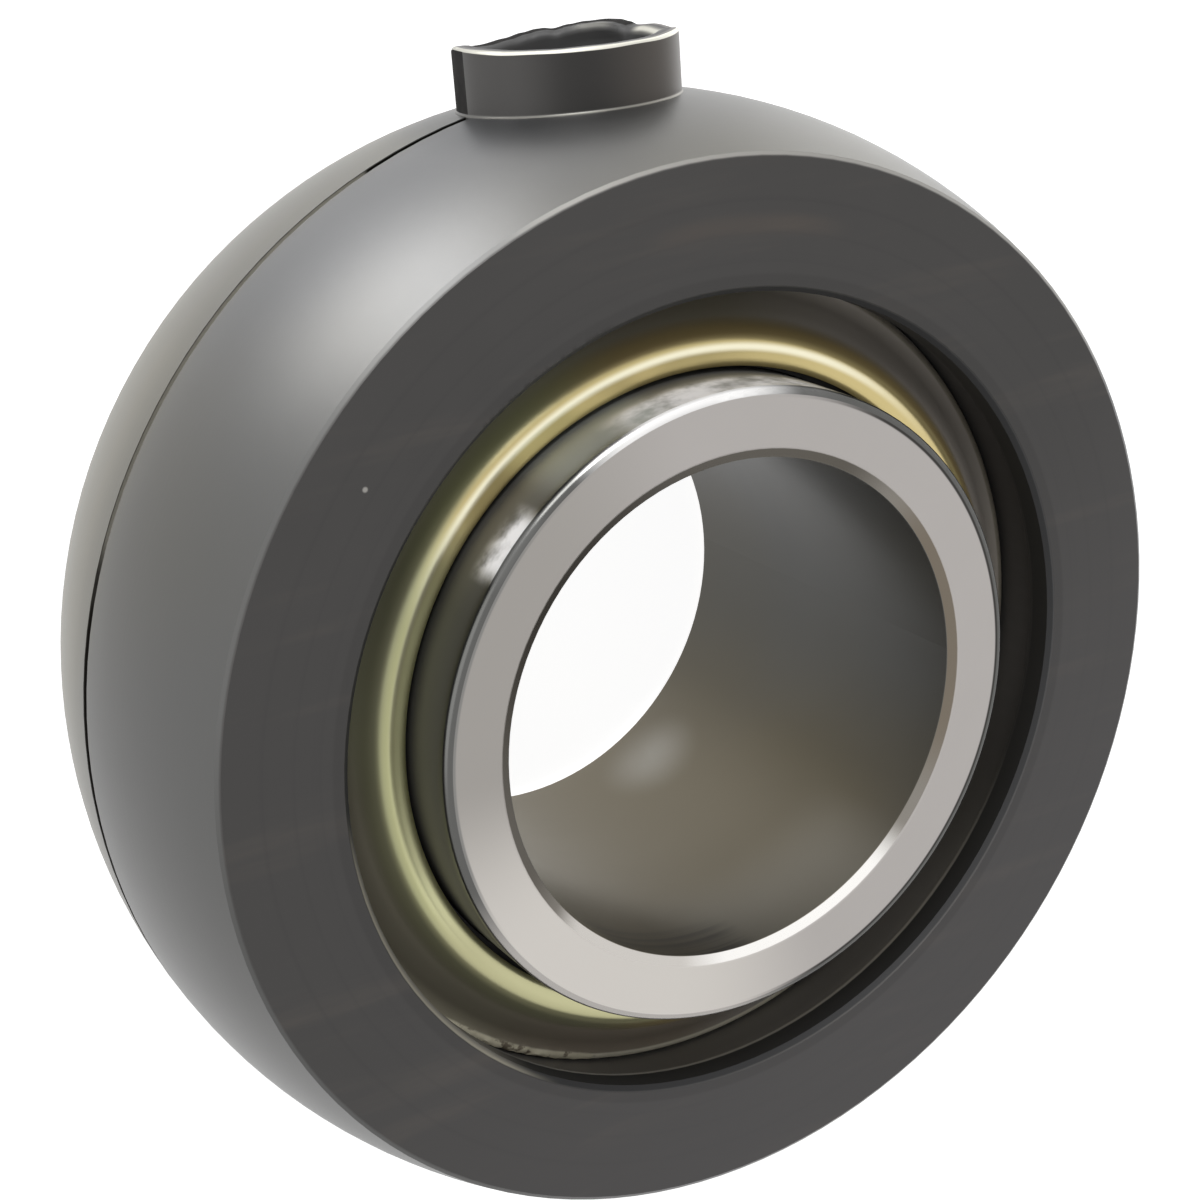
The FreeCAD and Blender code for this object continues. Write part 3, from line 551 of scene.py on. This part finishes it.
# Painted highlight: a soft bright patch low in the bore
glow_spot = (0.0106, -0.0195, -0.0138)
glow_reach = 0.0062
glow = both(add, step_between(add, distance_to(add, place, glow_spot), glow_reach, 0.0),
            range_to(add, stain, 0.25, 0.85))
honed = mix_colours(add, glow, honed, (0.42, 0.41, 0.38))
# Painted light: lighter near the front at the foot
front_low = both(add, sector(add, x, y, radius, 285.0, 12.0, 22.0), step_between(add, z, 0.006, 0.016))
honed = mix_colours(add, both(add, front_low, 0.6), honed, (0.27, 0.255, 0.22))
# Painted shadow near the front at the lower left, broken into streaks
streaks = line_noise(add, work_out(add, "ADD", z, both(add, x, 0.15)), 700.0)
streaks = range_to(add, step_between(add, streaks, 0.42, 0.6), 0.3, 0.85)
low_front = both(add, sector(add, x, y, radius, 250.0, 14.0, 9.0), step_between(add, z, 0.0135, 0.0165))
honed = mix_colours(add, both(add, low_front, streaks), honed, (0.1, 0.095, 0.085))

# Chamfer of the bore, with a painted highlight at the foot and painted shade at the upper left
cut = mix_colours(add, range_to(add, stain, 0.0, 1.0), (0.2, 0.185, 0.165), (0.3, 0.28, 0.25))
cut = tint_sectors(add, x, y, radius, cut, [
    (130.0, 70.0, 20.0, 1.0, (0.11, 0.1, 0.085)), (238.0, 16.0, 10.0, 1.0, pale),
    (284.0, 20.0, 14.0, 1.0, (0.95, 0.93, 0.9)), (5.0, 20.0, 22.0, 0.8, (0.17, 0.14, 0.105)),
])

colour = mix_colours(add, on_corner, outside, corner_light_and_shade)
colour = mix_colours(add, on_chamfer, colour, cut)
colour = mix_colours(add, on_end, colour, pale)
link(shader, "Base Color", mix_colours(add, in_bore, colour, honed))
turned = both(add, past_limit, step_between(add, z, 0.0205, 0.0185))
satin = work_out(add, "ADD", both(add, on_end, 0.12), both(add, in_bore, 0.12))
satin = work_out(add, "ADD", satin, both(add, turned, 0.28))
link(shader, "Roughness", work_out(add, "ADD", satin, range_to(add, stain, 0.2, 0.3)))
matt = either(add, both(add, turned, 0.35), both(add, either(add, scuff_and_glint, wipe_and_glint), 0.85))
link(shader, "Metallic", outside_of(add, matt))
lines = mix_colours(add, on_end, line_noise(add, z, 2200.0), noise(add, place, 2500.0, 2.0))
bump(add, shader, lines, 0.000002, 0.5)
dress(["inner_ring"], bearing_steel)


# Balls. Nine chrome-steel balls, lapped to a mirror, rolling in the tracks of the two rings.
ball_finish, shader, add = new_finish("lapped_ball_steel", (0.72, 0.72, 0.73), 1.0, 0.06)
place, x, y, z, radius = place_and_radius(add)
oil = noise(add, place, 90.0, 3.0)
link(shader, "Roughness", range_to(add, oil, 0.04, 0.12))
link(shader, "Base Color", mix_colours(add, oil, (0.74, 0.74, 0.75), (0.66, 0.65, 0.62)))
dress([f"ball_{number}" for number in range(1, 10)], ball_finish)


# Cage. Two halves pressed from steel strip, joined by nine rivets through the webs between the balls.
strip, shader, add = new_finish("pressed_strip_steel", (0.5, 0.49, 0.46), 1.0, 0.32)
place, x, y, z, radius = place_and_radius(add)
scuff = noise(add, place, 120.0, 5.0, 0.6)
link(shader, "Base Color", mix_colours(add, scuff, (0.54, 0.53, 0.5), (0.4, 0.38, 0.34)))
link(shader, "Roughness", range_to(add, scuff, 0.24, 0.42))
bump(add, shader, scuff, 0.000006, 0.4)
dress(["cage_front", "cage_rear", "cage_rivets"], strip)


# Seal cores. Steel washers pressed with a collar, phosphated so that the rubber bonds to them.
phosphate, shader, add = new_finish("phosphated_steel", (0.2, 0.2, 0.19), 0.6, 0.55)
place, x, y, z, radius = place_and_radius(add)
crystals = noise(add, place, 900.0, 4.0)
link(shader, "Base Color", mix_colours(add, crystals, (0.16, 0.16, 0.155), (0.27, 0.265, 0.25)))
bump(add, shader, crystals, 0.00001, 0.5)
dress(["front_seal_core", "rear_seal_core"], phosphate)


# Seal rubbers. Black nitrile moulded in three lips inside each core's collar.
nitrile, shader, add = new_finish("black_nitrile", (0.018, 0.018, 0.018), 0.0, 0.6)
place, x, y, z, radius = place_and_radius(add)
grain = noise(add, place, 700.0, 3.0)
link(shader, "Base Color", mix_colours(add, grain, (0.015, 0.015, 0.015), (0.03, 0.029, 0.028)))
bump(add, shader, grain, 0.00001, 0.4)
dress(["front_seal_rubber", "rear_seal_rubber"], nitrile)


# Seal shrouds. Rings pressed from thin sheet, with a bead round the mouth and a lip in the seat, zinc-plated
# with a yellow passivation that turns olive and dull on the sloping wall. The front one was staked along a
# stretch of its lip, which chipped and bared the edge there.
plating, shader, add = new_finish("yellow_zinc_plate", (0.72, 0.56, 0.18), 1.0, 0.3)
place, x, y, z, radius = place_and_radius(add)
bloom = noise(add, place, 55.0, 4.0, 0.6, 0.6)
fine = noise(add, place, 900.0, 3.0)
wall_share = step_between(add, radius, 0.0317, 0.0328)
slope_share = step_between(add, radius, 0.0308, 0.0315)
matt_share = step_between(add, radius, 0.0304, 0.0312)
lip_share = step_between(add, radius, 0.0359, 0.0361)
left_side = sector(add, x, y, radius, 198.0, 42.0, 25.0)
green_side = sector(add, x, y, radius, 145.0, 22.0, 25.0)
low_left = sector(add, x, y, radius, 222.0, 30.0, 22.0)

# Bead: gold, with a painted highlight on its crown at the top, and painted light and shade at the left
gold = mix_colours(add, range_to(add, bloom, 0.0, 0.7), (0.68, 0.56, 0.28), (0.6, 0.5, 0.21))
# Painted light: the bead lighter and greener at the left
gold = mix_colours(add, both(add, left_side, 0.95), gold, (0.92, 0.92, 0.55))
crown = both(add, step_between(add, radius, 0.0298, 0.0303), step_between(add, radius, 0.0309, 0.0304))
lit_crown = both(add, crown, sector(add, x, y, radius, 108.0, 40.0, 35.0))
gold = mix_colours(add, lit_crown, gold, (0.95, 0.9, 0.68))
# Painted shade: the crown darkened at the left
left_flank = both(add, left_side, step_between(add, radius, 0.0297, 0.0306))
gold = mix_colours(add, left_flank, gold, (0.42, 0.42, 0.23))
gold = tint_sectors(add, x, y, radius, gold, [(238.0, 22.0, 18.0, 0.8, (0.48, 0.46, 0.27))])
slope = mix_colours(add, green_side, (0.38, 0.29, 0.13), (0.34, 0.34, 0.18))
slope = mix_colours(add, left_side, slope, (0.24, 0.235, 0.145))
gold = mix_colours(add, slope_share, gold, slope)

# Sloping wall: olive and brown, with painted light that makes it paler at the right and low down
olive = mix_colours(add, range_to(add, bloom, 0.0, 0.9), (0.235, 0.215, 0.15), (0.185, 0.165, 0.125))
# Painted light: paler and greener at the upper left near the bead, paler at the lower left
green_foot = both(add, green_side, step_between(add, radius, 0.0346, 0.0322))
olive = mix_colours(add, green_foot, olive, (0.27, 0.265, 0.17))
olive = mix_colours(add, low_left, olive, (0.25, 0.23, 0.17))
olive = tint_sectors(add, x, y, radius, olive, [
    (262.0, 12.0, 24.0, 1.0, (0.24, 0.205, 0.16)), (295.0, 8.0, 22.0, 1.0, (0.3, 0.28, 0.26)),
    (25.0, 30.0, 30.0, 0.9, (0.4, 0.365, 0.325)),
])

# Lip: bare at its edge, with dark and bright flakes where it was staked
bare = mix_colours(add, range_to(add, fine, 0.1, 0.9), (0.3, 0.27, 0.21), (0.16, 0.145, 0.12))
bare = mix_colours(add, sector(add, x, y, radius, 243.0, 38.0, 12.0), bare, (0.62, 0.59, 0.48))
chipped = add("ShaderNodeAttribute", {"attribute_name": "chipped"}).outputs["Fac"]
flakes = mix_colours(add, step_between(add, fine, 0.34, 0.46), (0.17, 0.14, 0.1), (0.64, 0.6, 0.46))

colour = mix_colours(add, wall_share, gold, olive)
colour = mix_colours(add, lip_share, colour, bare)
colour = mix_colours(add, step_between(add, chipped, 0.25, 0.6), colour, flakes)
link(shader, "Base Color", colour)
dulled = both(add, wall_share, 0.25)
link(shader, "Roughness", work_out(add, "ADD", dulled, range_to(add, bloom, 0.26, 0.36)))
matt = either(add, wall_share, both(add, matt_share, 0.8))
matt = both(add, matt, range_to(add, either(add, low_left, green_side), 0.7, 0.85))
link(shader, "Metallic", outside_of(add, matt))
bump(add, shader, noise(add, place, 1400.0, 3.0), 0.000004, 0.5)


def pressed_ring_tree():
    """A ring pressed from sheet: its height follows a curve from mouth to rim, and its lip can be staked."""
    tree = bpy.data.node_groups.new("pressed_ring", "GeometryNodeTree")
    tree.interface.new_socket("Ring", in_out="OUTPUT", socket_type="NodeSocketGeometry")
    for kind, name, number in (
        ("Float", "Mouth Radius", 0.0287), ("Float", "Rim Radius", 0.0366), ("Float", "Lip Height", 0.0101),
        ("Float", "Pressed Height", 0.0045), ("Float", "Sheet", 0.0008), ("Float", "Staking", 0.0),
        ("Float", "Staked Middle", 4.0), ("Float", "Staked Half", 0.3), ("Int", "Steps Around", 720),
        ("Int", "Steps Across", 72),
    ):
        socket = tree.interface.new_socket(name, in_out="INPUT", socket_type=f"NodeSocket{kind}")
        socket.default_value = number
    tree.interface.new_socket("Finish", in_out="INPUT", socket_type="NodeSocketMaterial")
    add = node_adder(tree)
    given = add("NodeGroupInput").outputs

    def circle_with_share(steps):
        """A circle of so many steps, and how far along it each point lies, from 0 to 1."""
        circle = add("GeometryNodeCurvePrimitiveCircle", {"mode": "RADIUS"}, Resolution=steps)
        keep = add("GeometryNodeCaptureAttribute", {"domain": "POINT"}, Geometry=circle.outputs["Curve"])
        keep.capture_items.new("FLOAT", "Share")
        share = add("GeometryNodeSplineParameter").outputs["Factor"]
        tree.links.new(share, keep.inputs["Share"])
        return keep.outputs["Geometry"], keep.outputs["Share"]

    rail, share_around = circle_with_share(given["Steps Around"])
    section, share_across = circle_with_share(given["Steps Across"])
    pipe = add("GeometryNodeCurveToMesh", {}, {"Curve": rail, "Profile Curve": section})
    angle = both(add, share_around, 2 * math.pi)
    across = work_out(add, "PINGPONG", both(add, share_across, 2.0), 1.0)
    underneath = work_out(add, "GREATER_THAN", share_across, 0.5001)
    pressing = add("ShaderNodeFloatCurve", {}, Value=across)
    curve = pressing.mapping.curves[0]
    heights = [
        (0.0, 0.93), (0.02, 0.968), (0.06, 0.985), (0.13, 0.99), (0.2, 1.0), (0.25, 0.985), (0.29, 0.95),
        (0.367, 0.83), (0.468, 0.633), (0.532, 0.522), (0.595, 0.411), (0.696, 0.244), (0.797, 0.1),
        (0.886, 0.055), (0.97, 0.05), (1.0, 0.0),
    ]
    curve.points[0].location = heights[0]
    curve.points[1].location = heights[-1]
    for spot in heights[1:-1]:
        curve.points.new(*spot)
    pressing.mapping.update()
    width = work_out(add, "SUBTRACT", given["Rim Radius"], given["Mouth Radius"])
    reach = work_out(add, "ADD", given["Mouth Radius"], both(add, across, width))
    risen = both(add, given["Pressed Height"], pressing.outputs["Value"])
    level = work_out(add, "ADD", given["Lip Height"], risen)
    level = work_out(add, "SUBTRACT", level, both(add, underneath, given["Sheet"]))
    cosine = work_out(add, "COSINE", angle)
    sine = work_out(add, "SINE", angle)
    even = add("ShaderNodeCombineXYZ", {}, X=both(add, reach, cosine), Y=both(add, reach, sine), Z=level)
    nearness = work_out(add, "COSINE", work_out(add, "SUBTRACT", angle, given["Staked Middle"]))
    full_inside = work_out(add, "COSINE", both(add, given["Staked Half"], 0.6))
    none_outside = work_out(add, "COSINE", given["Staked Half"])
    staked = step_between(add, nearness, none_outside, full_inside)
    staked = both(add, staked, step_between(add, across, 0.86, 0.96))
    grit, bites, waves = (
        add("ShaderNodeTexNoise", {}, Vector=even.outputs[0], Scale=scale, Detail=detail).outputs["Fac"]
        for scale, detail in ((1500.0, 3.0), (1000.0, 3.0), (90.0, 1.0))
    )
    depth = both(add, given["Staking"], staked)
    lift = both(add, depth, work_out(add, "SUBTRACT", work_out(add, "ADD", grit, bites), 0.82))
    pull = both(add, depth, work_out(add, "SUBTRACT", 0.55, bites))
    wave_size = both(add, step_between(add, across, 0.75, 1.0), 0.00012)
    wave = both(add, wave_size, work_out(add, "SUBTRACT", waves, 0.5))
    shift = add("ShaderNodeCombineXYZ", {}, X=both(add, pull, cosine), Y=both(add, pull, sine),
                Z=work_out(add, "ADD", lift, wave))
    placed = add("ShaderNodeVectorMath", {"operation": "ADD"}, i0=even.outputs[0], i1=shift.outputs[0])
    moved = add("GeometryNodeSetPosition", {}, Geometry=pipe.outputs["Mesh"],
                Position=placed.outputs["Vector"])
    told = add("GeometryNodeStoreNamedAttribute", {"data_type": "FLOAT", "domain": "POINT"},
               Geometry=moved.outputs["Geometry"], Name="chipped", Value=staked)
    real = add("GeometryNodeRealizeInstances", {}, Geometry=told.outputs["Geometry"])
    finished = add("GeometryNodeSetMaterial", {}, Geometry=real.outputs["Geometry"], Material=given["Finish"])
    add("NodeGroupOutput", {}, Ring=finished.outputs["Geometry"])
    return tree


pressed_ring = pressed_ring_tree()


def press_shroud(name, inputs, turned_over):
    """One shroud's mesh, from the pressed ring's tree with some inputs set."""
    blank = bpy.data.objects.new(f"{name}_blank", bpy.data.meshes.new(f"{name}_blank"))
    bpy.context.scene.collection.objects.link(blank)
    press = blank.modifiers.new("press", "NODES")
    press.node_group = pressed_ring
    for item in pressed_ring.interface.items_tree:
        if item.item_type == "SOCKET" and item.in_out == "INPUT" and item.name in inputs:
            press[item.identifier] = inputs[item.name]
    evaluated = blank.evaluated_get(bpy.context.evaluated_depsgraph_get())
    mesh = bpy.data.meshes.new_from_object(evaluated)
    mesh.name = name
    blank.modifiers.clear()
    bpy.data.objects.remove(blank)
    if turned_over:
        mesh.transform(Matrix.Rotation(math.pi, 4, "X"))
    close_up(mesh, 50.0)
    return mesh


front_shroud = press_shroud("front_shroud_pressed", {
    "Finish": plating, "Staking": 0.0004, "Staked Middle": math.radians(237.0),
    "Staked Half": math.radians(17.0), "Steps Around": 1200, "Steps Across": 64,
}, False)
new_piece("front_shroud_pressed", front_shroud, "outer", "front_seal_shroud")
rear_shroud = press_shroud("rear_shroud_pressed", {"Finish": plating}, True)
new_piece("rear_shroud_pressed", rear_shroud, "outer", "rear_seal_shroud")


# Studio: a pale floor that shows white to the camera and in the steel and still takes the bearing's shadow,
# two soft lamps, a pool of light on the floor behind the bearing that its outside mirrors, one to its right,
# and an even sky.
floor_level = cad_box[0][2]
floor_reach = 3.0
floor_corners = [(-floor_reach, -floor_reach, 0), (floor_reach, -floor_reach, 0),
                 (floor_reach, floor_reach, 0), (-floor_reach, floor_reach, 0)]
floor_mesh = bpy.data.meshes.new("studio_floor")
floor_mesh.from_pydata(floor_corners, [], [(0, 1, 2, 3)])
floor_mesh.transform(Matrix.Translation((0, 0, floor_level)))
floor = bpy.data.objects.new("studio_floor", floor_mesh)
bpy.context.scene.collection.objects.link(floor)


def seen_or_mirrored(add):
    """1 for rays that come from the camera or a mirror image, 0 for those that only light a surface."""
    path = add("ShaderNodeLightPath").outputs
    return either(add, either(add, path["Is Camera Ray"], path["Is Glossy Ray"]), path["Is Transmission Ray"])


paper, shader, add = new_finish("white_paper", (0.5, 0.5, 0.5), 0.0, 0.9)
shader.inputs["Specular IOR Level"].default_value = 0.0
shader.inputs["Emission Color"].default_value = (1.0, 1.0, 1.0, 1.0)
link(shader, "Emission Strength", both(add, seen_or_mirrored(add), 0.9))
floor_mesh.materials.append(paper)

world = bpy.data.worlds.new("studio_sky")
bpy.context.scene.world = world
world.use_nodes = True
sky = world.node_tree.nodes["Background"]
add = node_adder(world.node_tree)
world.node_tree.links.new(range_to(add, seen_or_mirrored(add), 0.45, 1.0), sky.inputs["Strength"])
sky.inputs["Color"].default_value = (1.0, 1.0, 1.0, 1.0)


def hang_lamp(name, kind, spot, aim, watts):
    """A lamp of one kind at a spot, turned to its aim."""
    lamp = bpy.data.lights.new(name, kind)
    lamp.energy = watts
    holder = bpy.data.objects.new(name, lamp)
    holder.location = spot
    holder.rotation_euler = (Vector(aim) - Vector(spot)).to_track_quat("-Z", "Y").to_euler()
    bpy.context.scene.collection.objects.link(holder)
    return lamp


for name, spot, aim, size, watts in (
    ("back_softbox", (-0.16, 0.55, 0.3), (0.0, 0.03, 0.0), 0.4, 2.5),
    ("left_softbox", (-0.6, 0.1, 0.25), (0.0, 0.0, 0.0), 0.7, 1.0),
):
    softbox = hang_lamp(name, "AREA", spot, aim, watts)
    softbox.shape = "DISK"
    softbox.size = size

for name, spot, aim, watts, spread in (
    ("pool_behind", (-0.08, 0.36, 0.28), (-0.053, 0.13, floor_level), 88.0, 0.28),
    ("pool_right", (0.2, 0.3, 0.28), (0.075, 0.075, floor_level), 12.0, 0.2),
):
    pool = hang_lamp(name, "SPOT", spot, aim, watts)
    pool.spot_size = spread
    pool.spot_blend = 1.0
    pool.shadow_soft_size = 0.01


# Camera: the photograph's viewing angle, solved from the edges of the rings. Columns and rows count the
# photograph's pixels, and the three directions are the camera's own, in the bearing's frame.
image_width = 1200.0
focal_length = 2289.65
centre_column = 585.01
centre_row = 686.33
camera_place = Vector((-0.096239, 0.078513, 0.169809))
view_right = Vector((0.86111, -0.07241, 0.50324)).normalized()
view_down = Vector((-0.25406, -0.91865, 0.30255)).normalized()
view_back = view_down.cross(view_right)
camera = bpy.data.cameras.new("photograph_camera")
camera.sensor_fit = "HORIZONTAL"
camera.sensor_width = 36.0
camera.lens = focal_length / image_width * camera.sensor_width
camera.shift_x = (image_width / 2 - centre_column) / image_width
camera.shift_y = (centre_row - image_width / 2) / image_width
camera.clip_start = 0.01
camera_stand = bpy.data.objects.new("photograph_camera", camera)
turn = Matrix((view_right, -view_down, view_back)).transposed()
camera_stand.matrix_world = Matrix.Translation(camera_place) @ turn.to_4x4()
bpy.context.scene.collection.objects.link(camera_stand)
bpy.context.scene.camera = camera_stand
bpy.context.scene.view_settings.view_transform = "Standard"
